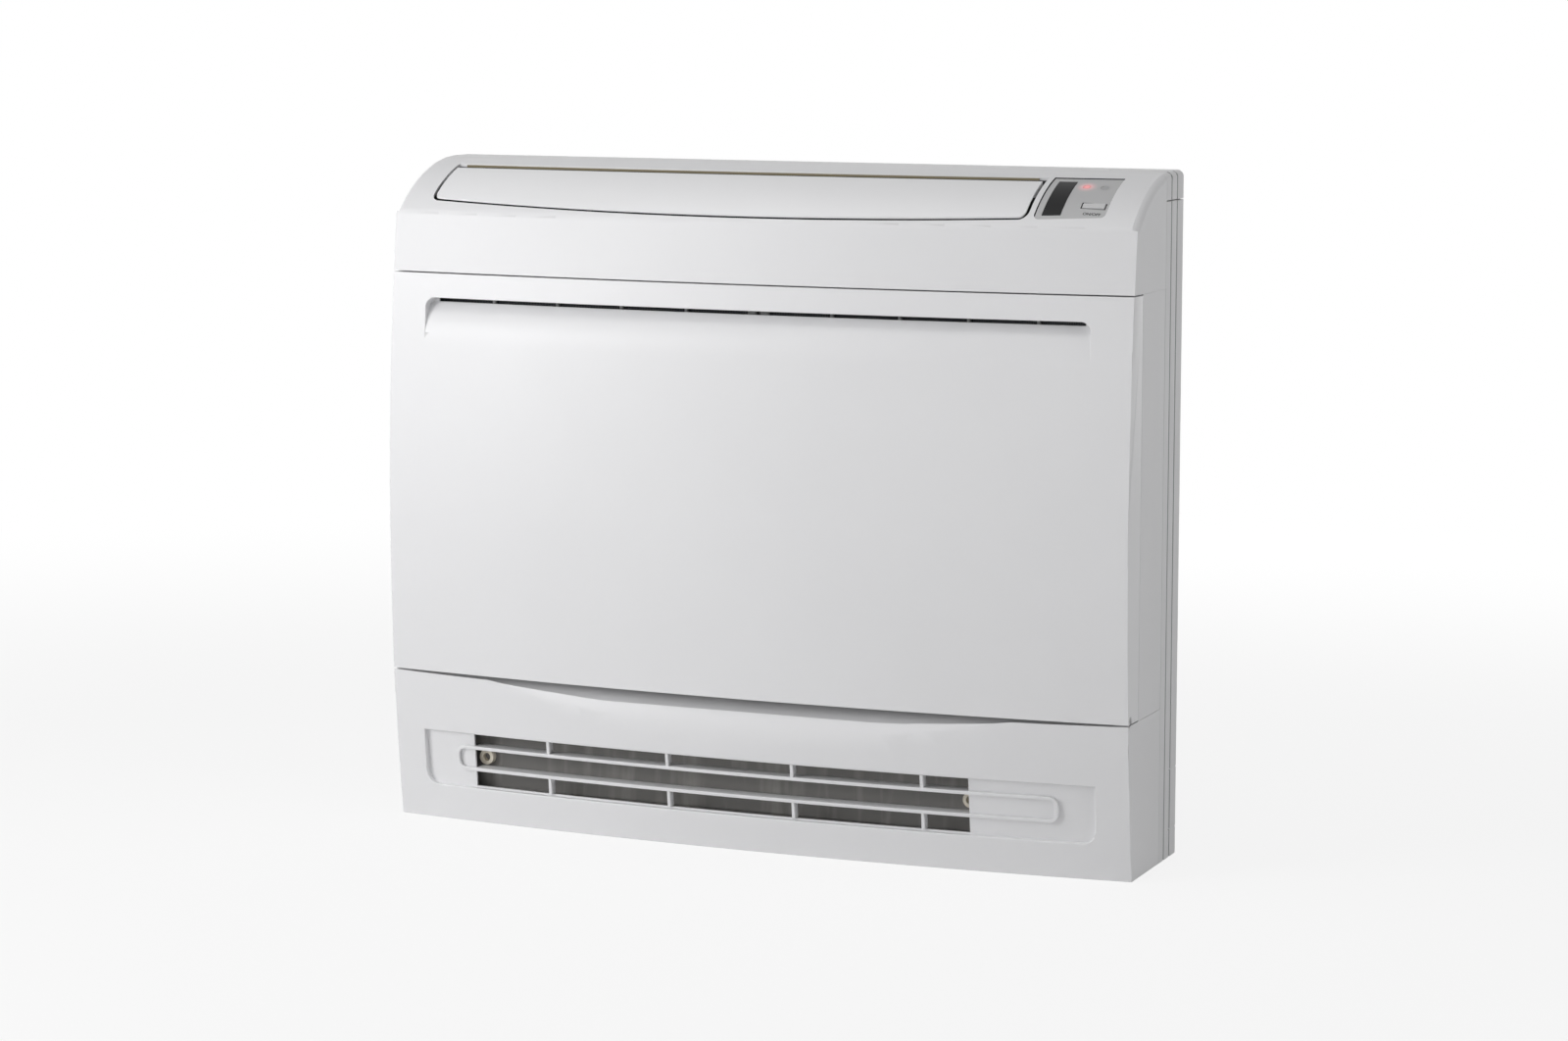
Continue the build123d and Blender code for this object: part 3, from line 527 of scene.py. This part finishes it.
SOFT_WIDTH = {
    "left_side_casing": 0.6,
    "right_side_casing": 0.6,
    "outlet_grille": 0.6,
    "left_rear_frame": 0.4,
    "right_rear_frame": 0.4,
    "top_rear_frame": 0.4,
    "left_screw_boss": 0.5,
    "right_screw_boss": 0.5,
    "rear_chassis": 0.5,
    "base_pan": 0.5,
    "inner_frame": 0.5,
    "left_filter_frame": 0.4,
    "right_filter_frame": 0.4,
    "panel_hinge_brackets": 0.4,
    "electrical_box": 0.6,
    "lower_damper": 0.4,
}
for node, width in SOFT_WIDTH.items():
    form = copy_of(node)
    rounded = round_edges(form, width * MM)
    print(dress(form, node).name, "has", rounded, "soft edges")

# %% [markdown]
# ## Front panel
# The panel gets the same soft edges everywhere but at its foot. A radius there would open the seam to the lower
# casing, which is a fine line.

# %% Soften the panel
PANEL_SOFT = 0.5 * MM
FOOT_HEIGHT = 2 * MM
panel_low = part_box("front_panel")[0]


def above_foot(vertex):
    """True away from the panel's foot, which stays sharp to keep the seam thin."""
    return vertex.co.z > panel_low.z + FOOT_HEIGHT


form = copy_of("front_panel")
print("front panel:", round_edges(form, PANEL_SOFT, above_foot), "soft edges")
dress(form, "front_panel")

# %% [markdown]
# ## Lower casing up to the panel
# The front panel tips forward on its pins, so the lower casing is hollowed behind the seam. On the real
# moulding the skin runs up to a thin lip in front of that hollow and the seam is a hairline. The lip's upper
# edge is drawn up here, but no further than the circle that the panel's foot swings on, which a little
# trigonometry gives for each vertex.

# %% Draw the lip up
HINGE = Vector((0, -72.0073, 140.5)) * MM
LIP_CLEARANCE = 0.5 * MM
LIP_START = 128 * MM
LIP_DEPTH = 0.6 * MM
LEAST_DROP = 2 * MM
BOW_RADIUS = 3072.5 * MM


def bow(x):
    """How far a bowed face has drawn back at a place along the width."""
    return x * x / (2 * BOW_RADIUS)


def height_then_depth(vertex):
    """Order of a mesh's vertices: the lowest first, and of those the foremost."""
    return round(vertex.co.z, 5), vertex.co.y


panel_foot = min(frame["nodes"]["front_panel"].data.vertices, key=height_then_depth).co
foot_front = panel_foot.y - bow(panel_foot.x)


def draw_lip_up(form):
    """Raise the front edge of the lip to the panel's swing circle."""
    raised = 0
    for vertex in form.verts:
        front = foot_front + bow(vertex.co.x)
        if vertex.co.z < LIP_START or abs(vertex.co.y - front) > LIP_DEPTH:
            continue
        swing = math.hypot(front - HINGE.y, panel_low.z - HINGE.z) + LIP_CLEARANCE
        reach = swing * swing - (vertex.co.y - HINGE.y) ** 2
        ceiling = HINGE.z - math.sqrt(max(reach, LEAST_DROP ** 2))
        vertex.co.z = max(vertex.co.z, ceiling)
        raised += 1
    print("lip raised at", raised, "vertices")


# %% [markdown]
# ## Outlet tray
# The tray sunk into the lower casing has a broader radius round its outline than the other edges, and it shows
# as a pale line. Its edges are found by their place: inside the tray's outline and in the casing's front face,
# which is bowed in plan and bulging in section.

# %% Round the tray's rim
BULGE_RADIUS = 2050 * MM
BULGE_HEIGHT = 298 * MM
TRAY_HALF = 325 * MM
TRAY_FOOT = 28 * MM
TRAY_TOP = 85 * MM
RIM_DEPTH = 1.5 * MM
TRAY_SOFT = 1.3 * MM
CASING_SOFT = 0.5 * MM
CASING_SHORTEST = 0.2 * MM


def front_of(x, z):
    """Front face of the casing, bowed in plan and bulging in section."""
    sag = ((BULGE_HEIGHT - z) ** 2 - (BULGE_HEIGHT - panel_low.z) ** 2) / (2 * BULGE_RADIUS)
    return foot_front + bow(x) + sag


def on_tray_rim(vertex):
    """True on the outline of the outlet tray, in the casing's front face."""
    place = vertex.co
    inside = abs(place.x) < TRAY_HALF and TRAY_FOOT < place.z < TRAY_TOP
    return inside and place.y < front_of(place.x, place.z) + RIM_DEPTH


def below_lip(vertex):
    """True away from the thin lip, which stays sharp."""
    return vertex.co.z < LIP_START


form = copy_of("lower_casing", CASING_SHORTEST)
draw_lip_up(form)
print("tray rim:", round_edges(form, TRAY_SOFT, on_tray_rim, angle=20, segments=4), "edges")
print("other edges:", round_edges(form, CASING_SOFT, below_lip))
dress(form, "lower_casing")

# %% [markdown]
# ## Vane
# The vane lies in its opening with an open joint all round, which reads as a dark line. Its rim is thinned a
# little from below along the front, as a moulded flap is, so that the joint stays open to the eye from a low
# viewpoint.

# %% Thin the front rim
OUTLET_BOW = 2080 * MM
RIM_THINNED = 0.15 * MM
AT_RIM = 0.3 * MM
FACES_UP = 0.3
VANE_SOFT = 0.25 * MM


def along_outlet(place):
    """Depth of a place, measured from the bowed front line of the outlet."""
    return place.y - place.x ** 2 / (2 * OUTLET_BOW)


form = copy_of("outlet_vane")
form.normal_update()
front_line = min(along_outlet(vertex.co) for vertex in form.verts)


def under_rim(vertex):
    """True on the front rim where no upper face begins."""
    at_front = along_outlet(vertex.co) < front_line + AT_RIM
    return at_front and not any(face.normal.z > FACES_UP for face in vertex.link_faces)


thinned = [vertex for vertex in form.verts if under_rim(vertex)]
for vertex in thinned:
    vertex.co.z += RIM_THINNED
print("vane rim thinned at", len(thinned), "vertices,", round_edges(form, VANE_SOFT), "soft edges")
dress(form, "outlet_vane")

# %% [markdown]
# ## Control panel
# The grey panel beside the vane is a separate moulding that drops into the casing. The seam shows dark along
# its left and rear edges, so those edges are drawn in by about a millimetre. The button is a loose cap in its
# own opening and is made a little smaller than the opening for the same reason: an open joint looks right from
# every side, while a painted line does not.

# %% Panel and button
SEAM = 0.9 * MM
SEAM_SINK = 0.3
AT_EDGE = 0.3 * MM
control_low, control_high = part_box("control_panel")
control_mesh = frame["nodes"]["control_panel"].data
control_face = BVHTree.FromPolygons(
    [vertex.co for vertex in control_mesh.vertices], [face.vertices for face in control_mesh.polygons],
)


def draw_control_in(form):
    """Open the seam at the left and rear edges of the control panel."""
    for vertex in form.verts:
        if vertex.co.x < control_low.x + AT_EDGE:
            vertex.co.x += SEAM
        rear = control_high.y - bow(control_high.x) + bow(vertex.co.x)
        if vertex.co.y > rear - AT_EDGE:
            vertex.co.y -= SEAM
            vertex.co.z -= SEAM_SINK * SEAM


def seat_on_control(x, y):
    """Turn and place of a small thing lying on the control panel: X along the width, Z out of the surface."""
    point, normal, _, _ = control_face.ray_cast(Vector((x, y, 1)), Vector((0, 0, -1)))
    along = (Vector((1, 0, 0)) - normal * normal.x).normalized()
    uphill = normal.cross(along)
    return Matrix.Translation(point) @ Matrix((along, uphill, normal)).transposed().to_4x4()


BUTTON_SHARE = (0.955, 0.86, 1.0)
BUTTON_RAISE = 0.3 * MM
BESIDE_BUTTON = 14 * MM
button_middle = middle_of("on_off_button")


def shrink_button(form):
    """Smaller cap, a touch up the slope, so that the joint below it is the widest."""
    seat = seat_on_control(button_middle.x - BESIDE_BUTTON, button_middle.y)
    seat.translation = button_middle
    change = Matrix.Translation((0, BUTTON_RAISE, 0)) @ Matrix.Diagonal((*BUTTON_SHARE, 1))
    bmesh.ops.transform(form, matrix=seat @ change @ seat.inverted(), verts=form.verts)


form = copy_of("control_panel")
draw_control_in(form)
print("control panel:", dress(form, "control_panel").name)
form = copy_of("on_off_button")
shrink_button(form)
print("button:", dress(form, "on_off_button").name)

# %% [markdown]
# ## Painted shade in the seams round the control panel and the button
# Painted shade lies in each seam: a dark liner against the wall of the opening stands for the shadow there. The
# wall's own faces are copied for it and set off by a twentieth of a millimetre, so that it follows the opening
# exactly.

# %% Shade liners in the seams
SHADE_LINER_OFF = 0.05 * MM
UPRIGHT = 0.6
# Dark finish for the printed lettering, and for the painted shade in the seams.
print_and_shade_dark = moulded_plastic("print_and_shade_dark", (0.02, 0.02, 0.022), 0.6, variation=0.2)


def in_opening(face, low, high):
    """True for an upright face round a piece with this box."""
    place = face.calc_center_median()
    beside = low.x - MM < place.x < high.x + MM and low.y - MM < place.y < high.y + MM
    return beside and low.z - MM < place.z < high.z + MM and abs(face.normal.z) < UPRIGHT


def line_opening_with_shade(holder, filler, name):
    """Dark liner of painted shade on the walls of the opening that one piece has for another."""
    low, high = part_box(filler)
    form = copy_of(holder)
    form.normal_update()
    others = [face for face in form.faces if not in_opening(face, low, high)]
    bmesh.ops.delete(form, geom=others, context="FACES")
    form.normal_update()
    for vertex in form.verts:
        vertex.co += vertex.normal * SHADE_LINER_OFF
    shade_liner = piece_from(form, name)
    shade_liner.data.materials.append(print_and_shade_dark)
    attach(shade_liner, body_of(frame["nodes"][holder])[0])
    print(name, "has", len(shade_liner.data.polygons), "faces")


# Painted shade: dark liners in the seams of the control panel and the button.
line_opening_with_shade("upper_casing", "control_panel", "control_painted_shade")
line_opening_with_shade("control_panel", "on_off_button", "button_painted_shade")

# %% [markdown]
# ## Words under the button
# The only lettering is what any such switch carries. Text starts as a curve, which is made a mesh before it
# gets its place, and lies as a print a few hundredths of a millimetre above the surface that a ray finds under
# it.

# %% On and off
WORDS_PLACE = (306.3 * MM, -59.6 * MM)
WORDS_WIDTH = 15.5 * MM
WORDS_BOLD = 0.03
LETTER_MERGE = 0.0005
PRINT_HEIGHT = 0.04 * MM
words = bpy.data.curves.new("on_off_words", "FONT")
words.body = "ON/OFF"
words.align_x = "CENTER"
words.align_y = "CENTER"
words.offset = WORDS_BOLD
words_curve = bpy.data.objects.new("on_off_curve", words)
scene.collection.objects.link(words_curve)
bpy.context.view_layer.update()
words_shape = words_curve.evaluated_get(bpy.context.evaluated_depsgraph_get())
words_mesh = bpy.data.meshes.new_from_object(words_shape)
bpy.data.objects.remove(words_curve)
form = bmesh.new()
form.from_mesh(words_mesh)
bmesh.ops.remove_doubles(form, verts=form.verts, dist=LETTER_MERGE)
spread = [vertex.co.x for vertex in form.verts]
size = WORDS_WIDTH / (max(spread) - min(spread))
lift = Matrix.Translation((0, 0, PRINT_HEIGHT)) @ Matrix.Scale(size, 4)
bmesh.ops.transform(form, matrix=seat_on_control(*WORDS_PLACE) @ lift, verts=form.verts)
words_piece = piece_from(form, "on_off_words")
words_piece.data.materials.append(print_and_shade_dark)
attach(words_piece, body_of(frame["nodes"]["control_panel"])[0])
print("words:", len(words_piece.data.polygons), "faces, size", round(size / MM, 2), "mm")

# %% [markdown]
# ## Studio
# The cabinet stands in a white room. The camera sees the room as plain white, while the room that lights the
# object is almost dark, so that the lamps alone shape it. The Light Path node tells the two apart.


# %% Room
def seen_directly(nodes, links):
    """One for rays that come straight from the camera, a mirror or glass."""
    path = nodes.new("ShaderNodeLightPath")
    either = nodes.new("ShaderNodeMath")
    either.operation = "MAXIMUM"
    links.new(path.outputs["Is Camera Ray"], either.inputs[0])
    links.new(path.outputs["Is Glossy Ray"], either.inputs[1])
    both = nodes.new("ShaderNodeMath")
    both.operation = "MAXIMUM"
    links.new(either.outputs[0], both.inputs[0])
    links.new(path.outputs["Is Transmission Ray"], both.inputs[1])
    return both.outputs[0]


ROOM_STRENGTH = 0.02
world = bpy.data.worlds.new("studio")
world.use_nodes = True
scene.world = world
room_nodes = world.node_tree.nodes
room_links = world.node_tree.links
room_light = room_nodes["Background"]
room_light.inputs["Color"].default_value = (1, 1, 1, 1)
room_light.inputs["Strength"].default_value = ROOM_STRENGTH
room_seen = room_nodes.new("ShaderNodeBackground")
room_seen.inputs["Color"].default_value = (1, 1, 1, 1)
room_mix = room_nodes.new("ShaderNodeMixShader")
room_links.new(seen_directly(room_nodes, room_links), room_mix.inputs[0])
room_links.new(room_light.outputs[0], room_mix.inputs[1])
room_links.new(room_seen.outputs[0], room_mix.inputs[2])
room_links.new(room_mix.outputs[0], room_nodes["World Output"].inputs["Surface"])

print("room at", ROOM_STRENGTH)

# %% [markdown]
# ## Floor
# A pale sheet takes the shadow. Part of what the camera sees of it is plain white, more so with the distance,
# so that the sheet ends without an edge.

# %% Floor
FLOOR_SIZE = 12.0
FLOOR_TONES = ((0.72, 0.72, 0.72), (0.7, 0.7, 0.7))
FLOOR_GLOW = 0.85
FLOOR_FADE = (0.7, 2.2)
sheet = bmesh.new()
bmesh.ops.create_grid(sheet, x_segments=1, y_segments=1, size=FLOOR_SIZE / 2)
floor_mesh = bpy.data.meshes.new("floor")
sheet.to_mesh(floor_mesh)
sheet.free()
floor = bpy.data.objects.new("floor", floor_mesh)
scene.collection.objects.link(floor)
floor_finish, floor_nodes, floor_links, floor_shader, floor_place = new_finish("floor_white")
floor_drift = noise(floor_nodes, floor_links, floor_place, 2, 2)
floor_tone = two_tones(floor_nodes, floor_links, floor_drift, *FLOOR_TONES)
floor_links.new(floor_tone, floor_shader.inputs["Base Color"])
floor_shader.inputs["Roughness"].default_value = 0.8
floor_white = floor_nodes.new("ShaderNodeEmission")
floor_reach = floor_nodes.new("ShaderNodeVectorMath")
floor_reach.operation = "LENGTH"
floor_links.new(floor_place, floor_reach.inputs[0])
floor_fade = floor_nodes.new("ShaderNodeMapRange")
floor_fade.interpolation_type = "SMOOTHSTEP"
floor_fade.inputs["From Min"].default_value = FLOOR_FADE[0]
floor_fade.inputs["From Max"].default_value = FLOOR_FADE[1]
floor_fade.inputs["To Min"].default_value = FLOOR_GLOW
floor_links.new(floor_reach.outputs["Value"], floor_fade.inputs["Value"])
floor_share = floor_nodes.new("ShaderNodeMath")
floor_share.operation = "MULTIPLY"
floor_links.new(seen_directly(floor_nodes, floor_links), floor_share.inputs[0])
floor_links.new(floor_fade.outputs["Result"], floor_share.inputs[1])
floor_mix = floor_nodes.new("ShaderNodeMixShader")
floor_links.new(floor_share.outputs[0], floor_mix.inputs[0])
floor_links.new(floor_shader.outputs[0], floor_mix.inputs[1])
floor_links.new(floor_white.outputs[0], floor_mix.inputs[2])
floor_links.new(floor_mix.outputs[0], floor_nodes["Material Output"].inputs["Surface"])
floor_mesh.materials.append(floor_finish)
print("floor", FLOOR_SIZE, "m square")

# %% [markdown]
# ## Lamps
# Large soft lamps give the slow fall of tone from the left of the front to the shaded right side. The low ones
# reach under the panel's foot and into the outlet. The lamp behind stands low, so that it doesn't glint on the
# top.


# %% Lamps
def soft_box(name, place, aim, size, power):
    """Rectangular area lamp turned towards a point of the object."""
    data = bpy.data.lights.new(name, "AREA")
    data.shape = "RECTANGLE"
    data.size, data.size_y = size
    data.energy = power
    lamp = bpy.data.objects.new(name, data)
    turn = (Vector(aim) - Vector(place)).to_track_quat("-Z", "Y")
    lamp.matrix_world = Matrix.Translation(place) @ turn.to_matrix().to_4x4()
    scene.collection.objects.link(lamp)
    return lamp


LAMPS = (
    ("near_left", (-1.3, -1.5, 1.0), (1.0, 1.0), 14.0),
    ("near_left_low", (-1.3, -1.5, 0.45), (1.0, 0.8), 6.4),
    ("front_low", (0.3, -3.2, 0.55), (2.4, 0.9), 11.1),
    ("right", (2.4, -0.6, 0.9), (1.4, 1.8), 14.2),
    ("top", (-0.3, -0.6, 2.6), (2.2, 1.6), 18.5),
    ("top_left", (-1.2, -1.6, 2.4), (1.6, 1.6), 4.2),
    ("behind", (-0.3, 2.2, 0.32), (1.6, 0.5), 14.0),
)
MIDDLE = (0, 0, 0.3)
for name, place, size, power in LAMPS:
    soft_box(name, place, MIDDLE, size, power)
